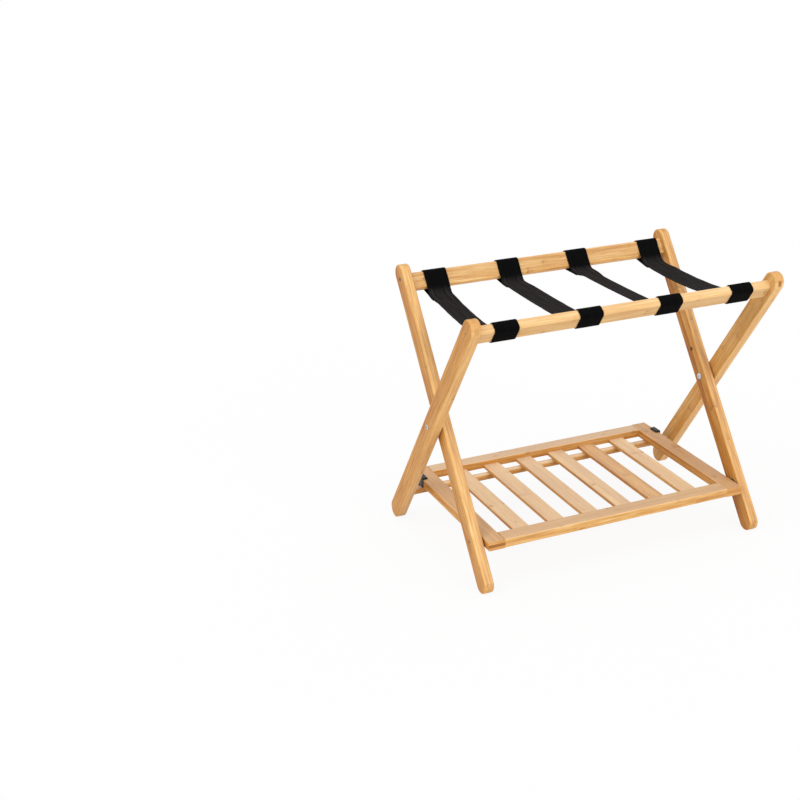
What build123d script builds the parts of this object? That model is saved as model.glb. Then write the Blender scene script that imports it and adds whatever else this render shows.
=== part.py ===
"""Folding bamboo luggage rack with webbing straps and a slatted shelf that folds up.

Millimetres, +Z up, X along the rails, -Y towards the front. The origin is on the floor, under
the middle of the rack, and the crossing pivot of the legs is straight above it.
"""

from build123d import *
from math import cos, radians, sin, tan
import os

os.makedirs("parts", exist_ok=True)

# Legs: flat bars with half-round ends that cross at the pivot
overall_length = 677.0
open_half_angle = 36.0
leg_length = 678.0
pivot_above_middle = 1.0
leg_width = 38.0
leg_thickness = 21.0
leg_edge_radius = 2.5
leg_gap = 2.0

# Top rails, carried between the leg tops
rail_from_leg_end = 39.5
rail_height = 36.0
rail_thickness = 20.0
rail_corner_radius = 6.0
rail_screw_offset = 9.0
rail_screw_radius = 2.0
rail_screw_head_radius = 4.3
rail_screw_in_rail = 32.0
rail_dowel_offset = 9.0
rail_dowel_radius = 4.0
rail_dowel_in_leg = 10.0
rail_dowel_in_rail = 25.0

# Lower bar: a round rod let into the outer legs, which the rear of the shelf rests on
bar_diameter = 16.0
bar_socket_depth = 9.0

# Shelf: a rail frame with slats housed in the undersides of its front and rear rails
shelf_top = 95.5
shelf_thickness = 18.0
shelf_front_overhang = 36.0
shelf_rear_overhang = 52.0
shelf_side_gap = 3.5
shelf_front_rail_width = 36.0
shelf_rear_rail_width = 32.0
shelf_side_rail_width = 36.0
shelf_edge_radius = 2.5
slat_count = 6
slat_width = 36.0
slat_thickness = 8.0
slat_edge_chamfer = 1.0
slat_housing = 10.0
corner_dowel_radius = 3.0
corner_dowel_reach = 16.0
corner_dowel_spacing = 17.0

# Straps: webbing looped round both rails and sewn double beside each rail
strap_width = 50.0
strap_thickness = 2.0
strap_front_insets = (57.0, 67.0)
strap_rear_insets = (52.5, 36.0)
strap_front_shifts = (0.0, 5.0, 8.5, 0.0)
strap_rear_shifts = (0.0, -3.0, -8.0, 0.0)
strap_sags = (9.0, 2.0, 3.0, 5.0)
strap_seam_length = 37.0
strap_seam_drop = 6.0
strap_lift = 6.0

# Crossing pivots: a bolt in a flanged barrel nut
barrel_radius = 4.0
barrel_bore_radius = 3.0
barrel_bore_depth = 28.0
flange_radius = 7.0
flange_thickness = 2.0
flange_chamfer = 0.8
pivot_bolt_length = 24.0
pivot_head_radius = 5.0
pivot_head_height = 2.0
pivot_head_chamfer = 1.0
pivot_washer_radius = 10.0

# Shelf pivots: shoulder bolts through the inner legs into the side rails of the shelf
shelf_bolt_radius = 3.0
shelf_bolt_to_dowels = 4.0
shelf_head_radius = 5.0
shelf_head_height = 2.5
shelf_head_sink = 0.5
shelf_washer_radius = 9.0

# Hook clips on the side rails of the shelf
clip_length = 24.0
clip_ahead_of_bar = 12.0
clip_wall = 1.6
clip_lip_height = 4.0
clip_lip_reach = 10.0
clip_corner_radius = 1.4
hook_wall = 5.0
hook_play = 1.0
hook_wrap_angle = 35.0
hook_start_angle = 50.0
clip_screw_radius = 1.5
clip_screw_head_radius = 2.8
clip_screw_length = 14.0

# Studs on the inner legs that the folded clips ride over
stud_from_pivot = 62.0
stud_head_radius = 4.0
stud_head_height = 1.4
stud_chamfer = 0.8
stud_shank_radius = 2.0
stud_shank_length = 10.0

# Clearances: fixed and turning seats, faces that pass each other, and slat housings
seat_clearance = 0.05
side_clearance = 0.3
housing_clearance = 0.1

# Places that follow from the sizes
lean = radians(open_half_angle)
leg_above_pivot = leg_length / 2 - pivot_above_middle
leg_below_pivot = leg_length / 2 + pivot_above_middle
rail_from_pivot = leg_above_pivot - rail_from_leg_end
pivot_height = (leg_below_pivot - leg_width / 2) * cos(lean) + leg_width / 2
outer_leg_outside = overall_length / 2
outer_leg_inside = outer_leg_outside - leg_thickness
inner_leg_outside = outer_leg_inside - leg_gap
inner_leg_inside = inner_leg_outside - leg_thickness
shelf_side = inner_leg_inside - shelf_side_gap
shelf_opening = shelf_side - shelf_side_rail_width
shelf_bolt_in_rail = shelf_side_rail_width - corner_dowel_reach - shelf_bolt_to_dowels
shelf_bottom = shelf_top - shelf_thickness
shelf_middle = shelf_top - shelf_thickness / 2
shelf_pivot_down_leg = (pivot_height - shelf_middle) / cos(lean)
shelf_pivot_y = -(pivot_height - shelf_middle) * tan(lean)
bar_height = shelf_bottom - side_clearance - bar_diameter / 2
bar_down_leg = (pivot_height - bar_height) / cos(lean)
bar_y = (pivot_height - bar_height) * tan(lean)
shelf_front = shelf_pivot_y - shelf_front_overhang
shelf_rear = bar_y + shelf_rear_overhang
shelf_depth = shelf_rear - shelf_front
slat_front = shelf_front + shelf_front_rail_width - slat_housing
slat_rear = shelf_rear - shelf_rear_rail_width + slat_housing
front_rail_middle = shelf_front + shelf_front_rail_width / 2
rear_rail_middle = shelf_rear - shelf_rear_rail_width / 2
clip_front = bar_y - clip_ahead_of_bar
clip_rear = clip_front + clip_length
clip_outside = shelf_side + clip_wall
clip_middle = clip_front + clip_length / 2
FRONT_TOP = -1
REAR_TOP = 1


def leg_plane(x, top, along=0.0, facing=1):
    """Plane square to the rails at x, on a leg's middle line: local X runs up the leg."""
    middle = (x, top * along * sin(lean), pivot_height + along * cos(lean))
    return Plane(origin=middle, x_dir=(0, top * sin(lean), cos(lean)), z_dir=(facing, 0, 0))


def side_plane(x, y, z, facing):
    """Plane square to the rails, whose normal points along facing."""
    return Plane(origin=(x, y, z), x_dir=(0, 1, 0), z_dir=(facing, 0, 0))


def save(piece, name):
    """Label a finished piece and write it under its own name."""
    piece.part.label = name
    export_step(piece.part, f"parts/{name}.step")


def save_pair(left, name):
    """Write a left-hand piece and its mirror image on the right."""
    with BuildPart() as right:
        mirror(left.part, about=Plane.YZ)
    save(left, f"{name}_left")
    save(right, f"{name}_right")


def turned(start, outline):
    """Solid turned about a line along +X from start, with an outline of (along, radius) points."""
    plane = Plane(origin=start, x_dir=(1, 0, 0), z_dir=(0, -1, 0))
    with BuildPart() as piece:
        with BuildSketch(plane):
            with BuildLine():
                Polyline(*outline, close=True)
            make_face()
        revolve(axis=Axis(plane.origin, plane.x_dir))
    return piece


def leg_bar(outside, inside, top):
    """Left-hand leg bar with its pivot bore, and its screw and dowel holes for the rail."""
    with BuildPart() as leg:
        with BuildSketch(leg_plane(outside, top, (leg_above_pivot - leg_below_pivot) / 2)):
            SlotOverall(leg_above_pivot + leg_below_pivot, leg_width)
        extrude(amount=leg_thickness)
        broad_faces = leg.faces().sort_by(Axis.X)
        fillet(broad_faces[0].edges() + broad_faces[-1].edges(), leg_edge_radius)
        with Locations(leg_plane(outside, top)):
            Hole(barrel_radius + seat_clearance)
        with Locations(leg_plane(outside, top, rail_from_pivot + rail_screw_offset, -1)):
            CounterSinkHole(
                rail_screw_radius + seat_clearance,
                rail_screw_head_radius + seat_clearance,
                counter_sink_angle=90,
            )
        with Locations(leg_plane(inside, top, rail_from_pivot - rail_dowel_offset)):
            Hole(rail_dowel_radius + seat_clearance, rail_dowel_in_leg + side_clearance)
    return leg


def top_rail(half_length, top):
    """Rounded rail whose tall side follows the legs that carry it."""
    with BuildPart() as rail:
        with BuildSketch(leg_plane(-half_length, top, rail_from_pivot)):
            RectangleRounded(rail_height, rail_thickness, rail_corner_radius)
        extrude(amount=2 * half_length)
        for end in (-1, 1):
            with Locations(leg_plane(end * half_length, top, rail_from_pivot + rail_screw_offset, end)):
                Hole(rail_screw_radius + seat_clearance, rail_screw_in_rail + side_clearance)
            with Locations(leg_plane(end * half_length, top, rail_from_pivot - rail_dowel_offset, end)):
                Hole(rail_dowel_radius + seat_clearance, rail_dowel_in_rail + side_clearance)
    return rail


def rail_screws(outside, top):
    """Countersunk screws through both legs into the ends of their rail."""
    length = leg_thickness + rail_screw_in_rail
    screw = turned(
        leg_plane(-outside, top, rail_from_pivot + rail_screw_offset).origin,
        [
            (0, 0),
            (0, rail_screw_head_radius),
            (rail_screw_head_radius - rail_screw_radius, rail_screw_radius),
            (length, rail_screw_radius),
            (length, 0),
        ],
    )
    with BuildPart() as screws:
        add(screw.part)
        mirror(about=Plane.YZ)
    return screws


def rail_dowels(inside, top):
    """Dowels beside the screws, which keep a rail from turning."""
    with BuildPart() as dowels:
        with BuildSketch(leg_plane(-inside - rail_dowel_in_leg, top, rail_from_pivot - rail_dowel_offset)):
            Circle(rail_dowel_radius)
        extrude(amount=rail_dowel_in_leg + rail_dowel_in_rail)
        mirror(about=Plane.YZ)
    return dowels


# Outer legs, with sockets for the lower bar
outer_blank = leg_bar(-outer_leg_outside, -outer_leg_inside, FRONT_TOP)
with BuildPart() as outer_leg:
    add(outer_blank.part)
    with Locations(leg_plane(-outer_leg_inside, FRONT_TOP, -bar_down_leg)):
        Hole(bar_diameter / 2 + seat_clearance, bar_socket_depth + side_clearance)
save_pair(outer_leg, "outer_leg")

# Inner legs, counterbored for the shelf pivots and drilled for the studs
inner_blank = leg_bar(-inner_leg_outside, -inner_leg_inside, REAR_TOP)
with BuildPart() as inner_leg:
    add(inner_blank.part)
    with Locations(leg_plane(-inner_leg_outside, REAR_TOP, -shelf_pivot_down_leg, -1)):
        CounterBoreHole(
            shelf_bolt_radius + seat_clearance,
            shelf_head_radius + side_clearance,
            shelf_head_sink + shelf_head_height + side_clearance,
        )
    with Locations(leg_plane(-inner_leg_inside, REAR_TOP, stud_from_pivot)):
        Hole(stud_shank_radius + seat_clearance, stud_shank_length + side_clearance)
save_pair(inner_leg, "inner_leg")

# Top rails with their screws and dowels
save(top_rail(outer_leg_inside, FRONT_TOP), "front_top_rail")
save(top_rail(inner_leg_inside, REAR_TOP), "rear_top_rail")
save(rail_screws(outer_leg_outside, FRONT_TOP), "front_rail_screws")
save(rail_screws(inner_leg_outside, REAR_TOP), "rear_rail_screws")
save(rail_dowels(outer_leg_inside, FRONT_TOP), "front_rail_dowels")
save(rail_dowels(inner_leg_inside, REAR_TOP), "rear_rail_dowels")

# Lower bar
bar_half_length = outer_leg_inside + bar_socket_depth
with BuildPart() as lower_bar:
    with BuildSketch(side_plane(-bar_half_length, bar_y, bar_height, 1)):
        Circle(bar_diameter / 2)
    extrude(amount=2 * bar_half_length)
save(lower_bar, "rear_lower_bar")

# Crossing pivot bolts, their heads against the outer legs
pivot_bolt = turned(
    (-outer_leg_outside, 0, pivot_height),
    [
        (-pivot_head_height, 0),
        (-pivot_head_height, pivot_head_radius - pivot_head_chamfer),
        (pivot_head_chamfer - pivot_head_height, pivot_head_radius),
        (0, pivot_head_radius),
        (0, barrel_bore_radius - seat_clearance),
        (pivot_bolt_length, barrel_bore_radius - seat_clearance),
        (pivot_bolt_length, 0),
    ],
)
save_pair(pivot_bolt, "pivot_bolt")

# Flanged barrel nuts, the hinge pins of the legs
barrel_length = outer_leg_outside - inner_leg_inside + side_clearance
pivot_barrel = turned(
    (-outer_leg_outside, 0, pivot_height),
    [
        (side_clearance, barrel_bore_radius),
        (side_clearance, barrel_radius),
        (barrel_length, barrel_radius),
        (barrel_length, flange_radius),
        (barrel_length + flange_thickness - flange_chamfer, flange_radius),
        (barrel_length + flange_thickness, flange_radius - flange_chamfer),
        (barrel_length + flange_thickness, 0),
        (barrel_bore_depth, 0),
        (barrel_bore_depth, barrel_bore_radius),
    ],
)
save_pair(pivot_barrel, "pivot_barrel")

# Spacer washers between outer and inner legs
with BuildPart() as pivot_washer:
    with BuildSketch(side_plane(-outer_leg_inside, 0, pivot_height, 1)):
        Circle(pivot_washer_radius)
        Circle(barrel_radius + seat_clearance, mode=Mode.SUBTRACT)
    extrude(amount=leg_gap - side_clearance)
save_pair(pivot_washer, "pivot_washer")

# Studs, pressed into the inner legs
stud = turned(
    leg_plane(-inner_leg_inside, REAR_TOP, stud_from_pivot).origin,
    [
        (-stud_shank_length, 0),
        (-stud_shank_length, stud_shank_radius),
        (0, stud_shank_radius),
        (0, stud_head_radius),
        (stud_head_height - stud_chamfer, stud_head_radius),
        (stud_head_height, stud_head_radius - stud_chamfer),
        (stud_head_height, 0),
    ],
)
save_pair(stud, "catch_stud")

# Shelf pivot bolts and their washers
shelf_head_outside = inner_leg_outside - shelf_head_sink
shelf_bolt_length = shelf_head_outside - shelf_side + shelf_bolt_in_rail
shelf_bolt = turned(
    (-shelf_head_outside, shelf_pivot_y, shelf_middle),
    [
        (0, 0),
        (0, shelf_head_radius),
        (shelf_head_height, shelf_head_radius),
        (shelf_head_height, shelf_bolt_radius),
        (shelf_bolt_length, shelf_bolt_radius),
        (shelf_bolt_length, 0),
    ],
)
save_pair(shelf_bolt, "shelf_pivot_bolt")

with BuildPart() as shelf_washer:
    with BuildSketch(side_plane(-shelf_side, shelf_pivot_y, shelf_middle, -1)):
        Circle(shelf_washer_radius)
        Circle(shelf_bolt_radius + seat_clearance, mode=Mode.SUBTRACT)
    extrude(amount=shelf_side_gap - side_clearance)
save_pair(shelf_washer, "shelf_pivot_washer")

# Side rails of the shelf, drilled for the pivots, clips and corner dowels
with BuildPart() as side_rail:
    with BuildSketch(Plane.XY.offset(shelf_bottom)):
        with Locations(((-shelf_side - shelf_opening) / 2, (shelf_front + shelf_rear) / 2)):
            Rectangle(shelf_side_rail_width, shelf_depth)
    extrude(amount=shelf_thickness)
    fillet(side_rail.edges().filter_by(Axis.Y), shelf_edge_radius)
    with Locations(side_plane(-shelf_side, shelf_pivot_y, shelf_middle, -1)):
        Hole(shelf_bolt_radius + seat_clearance, shelf_bolt_in_rail + side_clearance)
    with Locations(side_plane(-shelf_side, clip_middle, shelf_middle, -1)):
        Hole(clip_screw_radius + seat_clearance, clip_screw_length)
    for rail_middle in (front_rail_middle, rear_rail_middle):
        with Locations(side_plane(-shelf_opening, rail_middle, shelf_middle, 1)):
            with GridLocations(corner_dowel_spacing, 0, 2, 1):
                Hole(corner_dowel_radius + seat_clearance, corner_dowel_reach + side_clearance)
save_pair(side_rail, "shelf_side_rail")

# Slats, spread evenly between the side rails and flush with the underside of the shelf
slat_gap = (2 * shelf_opening - slat_count * slat_width) / (slat_count + 1)
slat_pitch = slat_width + slat_gap
for index in range(slat_count):
    slat_x = (index - (slat_count - 1) / 2) * slat_pitch
    with BuildPart() as slat:
        with BuildSketch(Plane.XY.offset(shelf_bottom)):
            with Locations((slat_x, (slat_front + slat_rear) / 2)):
                Rectangle(slat_width, slat_rear - slat_front)
        extrude(amount=slat_thickness)
        chamfer(slat.edges().filter_by(Axis.Y), slat_edge_chamfer)
    save(slat, f"shelf_slat_{index + 1}")


def shelf_long_rail(middle, width, inward):
    """Rail between the side rails, housed from below for the slats, which leave it inward along Y."""
    with BuildPart() as rail:
        with BuildSketch(Plane.XY.offset(shelf_bottom)):
            with Locations((0, middle)):
                Rectangle(2 * shelf_opening, width)
        extrude(amount=shelf_thickness)
        fillet(rail.edges().filter_by(Axis.X), shelf_edge_radius)
        with BuildSketch(Plane.XY.offset(shelf_bottom)):
            with Locations((0, middle + inward * width / 2)):
                with GridLocations(slat_pitch, 0, slat_count, 1):
                    Rectangle(slat_width + 2 * housing_clearance, 2 * (slat_housing + housing_clearance))
        extrude(amount=slat_thickness + housing_clearance, both=True, mode=Mode.SUBTRACT)
        for end in (-1, 1):
            with Locations(side_plane(end * shelf_opening, middle, shelf_middle, end)):
                with GridLocations(corner_dowel_spacing, 0, 2, 1):
                    Hole(corner_dowel_radius + seat_clearance, corner_dowel_reach + side_clearance)
    return rail


# Front and rear rails of the shelf, and the dowels in its corners
save(shelf_long_rail(front_rail_middle, shelf_front_rail_width, 1), "shelf_front_rail")
save(shelf_long_rail(rear_rail_middle, shelf_rear_rail_width, -1), "shelf_rear_rail")

with BuildPart() as corner_dowels:
    with BuildSketch(Plane.YZ.offset(-shelf_opening - corner_dowel_reach)):
        with Locations((front_rail_middle, shelf_middle), (rear_rail_middle, shelf_middle)):
            with GridLocations(corner_dowel_spacing, 0, 2, 1):
                Circle(corner_dowel_radius)
    extrude(amount=2 * corner_dowel_reach)
    mirror(about=Plane.YZ)
save(corner_dowels, "shelf_corner_dowels")

# Hook clips: a saddle over the outer edge of the side rail, and a hook round the back of the bar
jaw_radius = bar_diameter / 2 + hook_play
with BuildPart() as clip:
    with BuildSketch(Plane.XZ.offset(-clip_front)):
        with BuildLine():
            Polyline(
                (-shelf_side, shelf_bottom),
                (-clip_outside, shelf_bottom),
                (-clip_outside, shelf_top + clip_lip_height),
                (-shelf_side + clip_lip_reach, shelf_top + clip_lip_height),
                (-shelf_side + clip_lip_reach, shelf_top),
                (-shelf_side, shelf_top),
                close=True,
            )
        make_face()
    extrude(amount=-clip_length)
    fillet(clip.edges().filter_by(Axis.Y).group_by(Axis.Z)[-1], clip_corner_radius)
    with BuildSketch(Plane.YZ.offset(-clip_outside)):
        with BuildLine():
            jaw = CenterArc(
                (bar_y, bar_height), jaw_radius, -hook_wrap_angle, hook_wrap_angle + hook_start_angle
            )
            back = CenterArc((bar_y, bar_height), jaw_radius + hook_wall, -hook_wrap_angle, hook_wrap_angle)
            SagittaArc(jaw @ 0, back @ 0, -hook_wall / 2)
            Polyline(back @ 1, (clip_rear, shelf_bottom), ((jaw @ 1).X, shelf_bottom), jaw @ 1)
        make_face()
    extrude(amount=clip_wall + clip_lip_reach)
    with Locations(side_plane(-clip_outside, clip_middle, shelf_middle, -1)):
        CounterSinkHole(
            clip_screw_radius + seat_clearance,
            clip_screw_head_radius + seat_clearance,
            depth=clip_wall + side_clearance,
            counter_sink_angle=90,
        )
save_pair(clip, "hook_clip")

clip_screw = turned(
    (-clip_outside, clip_middle, shelf_middle),
    [
        (0, 0),
        (0, clip_screw_head_radius),
        (clip_screw_head_radius - clip_screw_radius, clip_screw_radius),
        (clip_screw_length, clip_screw_radius),
        (clip_screw_length, 0),
    ],
)
with BuildPart() as clip_screws:
    add(clip_screw.part)
    mirror(about=Plane.YZ)
save(clip_screws, "clip_screws")

# Straps leave the lower inner corners of the loops round the rails
loop_inside = side_clearance
loop_outside = side_clearance + strap_thickness
loop_corner_radius = rail_corner_radius + loop_outside
corner_in = rail_thickness / 2 - rail_corner_radius
corner_down = rail_from_pivot - rail_height / 2 + rail_corner_radius
corner_y = corner_down * sin(lean) - corner_in * cos(lean)
corner_z = pivot_height + corner_down * cos(lean) + corner_in * sin(lean)
span_end = (corner_y, corner_z - loop_corner_radius + strap_lift)
seam_end = (corner_y - strap_seam_length, span_end[1] - strap_seam_drop)


def strap_loop(place, top):
    """Band of webbing round a top rail."""
    with BuildPart() as loop:
        with BuildSketch(leg_plane(place - strap_width / 2, top, rail_from_pivot)):
            RectangleRounded(
                rail_height + 2 * loop_outside,
                rail_thickness + 2 * loop_outside,
                rail_corner_radius + loop_outside,
            )
            RectangleRounded(
                rail_height + 2 * loop_inside,
                rail_thickness + 2 * loop_inside,
                rail_corner_radius + loop_inside,
                mode=Mode.SUBTRACT,
            )
        extrude(amount=strap_width)
    return loop


def strap_span(front_place, rear_place, sag):
    """Sagging webbing between two loops, double along the sewn seam at each end."""
    end_y, end_z = span_end
    seam_y, seam_z = seam_end
    single_z = seam_z - strap_thickness
    half = strap_width / 2
    with BuildPart() as span:
        with BuildSketch(Plane.YZ):
            with BuildLine():
                ThreePointArc((-seam_y, seam_z), (0, seam_z - sag), (seam_y, seam_z))
                Polyline(
                    (seam_y, seam_z),
                    (end_y, end_z),
                    (end_y, end_z - 2 * strap_thickness),
                    (seam_y, single_z - strap_thickness),
                    (seam_y, single_z),
                )
                ThreePointArc((seam_y, single_z), (0, single_z - sag), (-seam_y, single_z))
                Polyline(
                    (-seam_y, single_z),
                    (-seam_y, single_z - strap_thickness),
                    (-end_y, end_z - 2 * strap_thickness),
                    (-end_y, end_z),
                    (-seam_y, seam_z),
                )
            make_face()
        extrude(amount=overall_length / 2, both=True)
        with BuildSketch(Plane.XY):
            with BuildLine():
                Polyline(
                    (front_place - half, -end_y),
                    (front_place + half, -end_y),
                    (rear_place + half, end_y),
                    (rear_place - half, end_y),
                    close=True,
                )
            make_face()
        extrude(amount=2 * pivot_height, mode=Mode.INTERSECT)
        with BuildSketch(Plane.YZ.offset(-overall_length / 2)):
            with Locations((corner_y, corner_z), (-corner_y, corner_z)):
                Circle(loop_corner_radius + side_clearance)
        extrude(amount=overall_length, mode=Mode.SUBTRACT)
    return span


def strap_places(half_length, insets, shifts):
    """Middles of the straps along a rail: evenly between the end insets, each shifted a little."""
    first = insets[0] - half_length
    step = (half_length - insets[1] - first) / (len(shifts) - 1)
    return [first + index * step + shift for index, shift in enumerate(shifts)]


strap_front_places = strap_places(outer_leg_inside, strap_front_insets, strap_front_shifts)
strap_rear_places = strap_places(inner_leg_inside, strap_rear_insets, strap_rear_shifts)
strap_rows = zip(strap_front_places, strap_rear_places, strap_sags)
for index, (front_place, rear_place, sag) in enumerate(strap_rows):
    save(strap_loop(front_place, FRONT_TOP), f"strap_{index + 1}_front_loop")
    save(strap_loop(rear_place, REAR_TOP), f"strap_{index + 1}_rear_loop")
    save(strap_span(front_place, rear_place, sag), f"strap_{index + 1}_span")
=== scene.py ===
"""Folding luggage rack of laminated bamboo: the looks of its pieces, its straps, light and camera."""

import math
import random

import bmesh
import bpy
from mathutils import Matrix, Vector


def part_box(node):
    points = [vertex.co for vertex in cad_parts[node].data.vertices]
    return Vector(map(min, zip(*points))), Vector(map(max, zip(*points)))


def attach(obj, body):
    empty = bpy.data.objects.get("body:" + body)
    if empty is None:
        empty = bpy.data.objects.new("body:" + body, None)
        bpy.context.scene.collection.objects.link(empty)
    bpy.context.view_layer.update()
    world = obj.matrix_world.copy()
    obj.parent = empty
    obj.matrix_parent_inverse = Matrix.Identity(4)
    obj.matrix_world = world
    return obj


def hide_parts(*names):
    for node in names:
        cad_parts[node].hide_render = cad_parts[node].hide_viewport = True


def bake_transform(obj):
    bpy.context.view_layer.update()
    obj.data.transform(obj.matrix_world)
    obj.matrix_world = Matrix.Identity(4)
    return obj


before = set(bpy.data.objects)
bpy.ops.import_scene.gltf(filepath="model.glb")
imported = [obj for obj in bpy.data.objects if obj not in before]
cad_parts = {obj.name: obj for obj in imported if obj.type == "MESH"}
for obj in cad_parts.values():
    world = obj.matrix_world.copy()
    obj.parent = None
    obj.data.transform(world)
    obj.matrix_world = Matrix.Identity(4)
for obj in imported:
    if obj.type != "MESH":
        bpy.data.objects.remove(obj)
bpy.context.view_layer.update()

LEAN = math.radians(36.0)
SIN = math.sin(LEAN)
COS = math.cos(LEAN)
PIVOT_Z = 0.2786945
OUTER_LEG_INSIDE = 0.3175
INNER_LEG_INSIDE = 0.2945


def srgb(red, green, blue):
    """A display colour given in 0 to 255, as the linear colour that Blender works in."""
    def linear(value):
        value = value / 255.0
        if value <= 0.04045:
            return value / 12.92
        return ((value + 0.055) / 1.055) ** 2.4
    return (linear(red), linear(green), linear(blue), 1.0)


class Graph:
    """A material's node tree, with short calls that add a node and return its output."""

    def __init__(self, name):
        self.material = bpy.data.materials.new(name)
        self.material.use_nodes = True
        self.tree = self.material.node_tree
        self.shader = self.tree.nodes["Principled BSDF"]

    def feed(self, socket, value):
        if isinstance(value, bpy.types.NodeSocket):
            self.tree.links.new(value, socket)
        else:
            socket.default_value = value

    def node(self, kind, *values, **settings):
        made = self.tree.nodes.new(kind)
        for key, value in settings.items():
            setattr(made, key, value)
        for index, value in enumerate(values):
            if value is not None:
                self.feed(made.inputs[index], value)
        return made

    def math(self, operation, *values):
        return self.node("ShaderNodeMath", *values, operation=operation).outputs[0]

    def dot(self, vector, axis):
        return self.node("ShaderNodeVectorMath", vector, axis, operation="DOT_PRODUCT").outputs["Value"]

    def vector(self, x, y, z):
        return self.node("ShaderNodeCombineXYZ", x, y, z).outputs[0]

    def scaled(self, value, factor):
        return self.math("MULTIPLY", value, factor)

    def stretched(self, vector, factor):
        return self.node("ShaderNodeVectorMath", vector, (factor,) * 3, operation="MULTIPLY").outputs[0]

    def noise(self, vector, detail, roughness=0.5):
        made = self.node("ShaderNodeTexNoise")
        self.feed(made.inputs["Vector"], vector)
        made.inputs["Scale"].default_value = 1.0
        made.inputs["Detail"].default_value = detail
        made.inputs["Roughness"].default_value = roughness
        return made.outputs[0]

    def step(self, value, low, high, start=0.0, end=1.0):
        """A smooth change from start to end while value goes from low to high."""
        made = self.node("ShaderNodeMapRange", interpolation_type="SMOOTHSTEP")
        for name, given in (("Value", value), ("From Min", low), ("From Max", high)):
            self.feed(made.inputs[name], given)
        made.inputs["To Min"].default_value = start
        made.inputs["To Max"].default_value = end
        return made.outputs[0]

    def mix(self, factor, first, second):
        made = self.node("ShaderNodeMix", data_type="RGBA")
        for index, value in ((0, factor), (6, first), (7, second)):
            self.feed(made.inputs[index], value)
        return made.outputs[2]

    def ramp(self, factor, stops):
        made = self.node("ShaderNodeValToRGB", factor)
        elements = made.color_ramp.elements
        while len(elements) < len(stops):
            elements.new(0.5)
        for element, (place, colour) in zip(elements, stops):
            element.position = place
            element.color = colour
        return made.outputs[0]

    def bump(self, height, distance, strength):
        made = self.node("ShaderNodeBump")
        made.inputs["Strength"].default_value = strength
        made.inputs["Distance"].default_value = distance
        self.feed(made.inputs["Height"], height)
        self.feed(self.shader.inputs["Normal"], made.outputs[0])

    def set(self, **values):
        """Shader sockets by name, with _ for a space: a plain value or a node's output."""
        for name, value in values.items():
            self.feed(self.shader.inputs[name.replace("_", " ")], value)


def leg_grain(graph, place, direction, inner_face):
    """Along, across and through a leg that leans to the front (-1) or the rear (+1) at its top."""
    x, y, z = place
    height = graph.math("SUBTRACT", z, PIVOT_Z)
    along = graph.math("ADD", graph.scaled(y, SIN * direction), graph.scaled(height, COS))
    across = graph.math("SUBTRACT", graph.scaled(y, COS), graph.scaled(height, SIN * direction))
    through = graph.math("SUBTRACT", graph.math("ABSOLUTE", x), inner_face)
    return along, across, through, graph.math("SIGN", x), (0.0, SIN * direction, COS)


def outer_leg_grain(graph, place):
    return leg_grain(graph, place, -1.0, OUTER_LEG_INSIDE)


def inner_leg_grain(graph, place):
    return leg_grain(graph, place, 1.0, INNER_LEG_INSIDE)


def top_rail_grain(graph, place):
    """Along, across and through the leaning top rails, with other wood on the front one than the rear."""
    x, y, z = place
    side = graph.math("SIGN", y)
    out = graph.math("ABSOLUTE", y)
    height = graph.math("SUBTRACT", z, PIVOT_Z)
    across = graph.math("ADD", graph.scaled(out, SIN), graph.scaled(height, COS))
    through = graph.math("SUBTRACT", graph.scaled(out, COS), graph.scaled(height, SIN))
    along = graph.math("ADD", x, graph.scaled(side, 1.7))
    return along, across, through, side, (1.0, 0.0, 0.0)


def long_rail_grain(graph, place):
    """Along, across and through the level rails and the bar, which run from side to side."""
    x, y, z = place
    side = graph.math("SIGN", y)
    along = graph.math("ADD", x, graph.scaled(side, 2.3))
    return along, y, z, side, (1.0, 0.0, 0.0)


def shelf_grain(graph, place):
    """Along, across and through the side rails and slats of the shelf, which run from front to rear."""
    x, y, z = place
    return y, x, z, graph.math("SIGN", x), (0.0, 1.0, 0.0)


NODE_GAP = 0.27
CORE_PLY = 1.0
PALE_WOOD = srgb(244, 214, 168)


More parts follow.
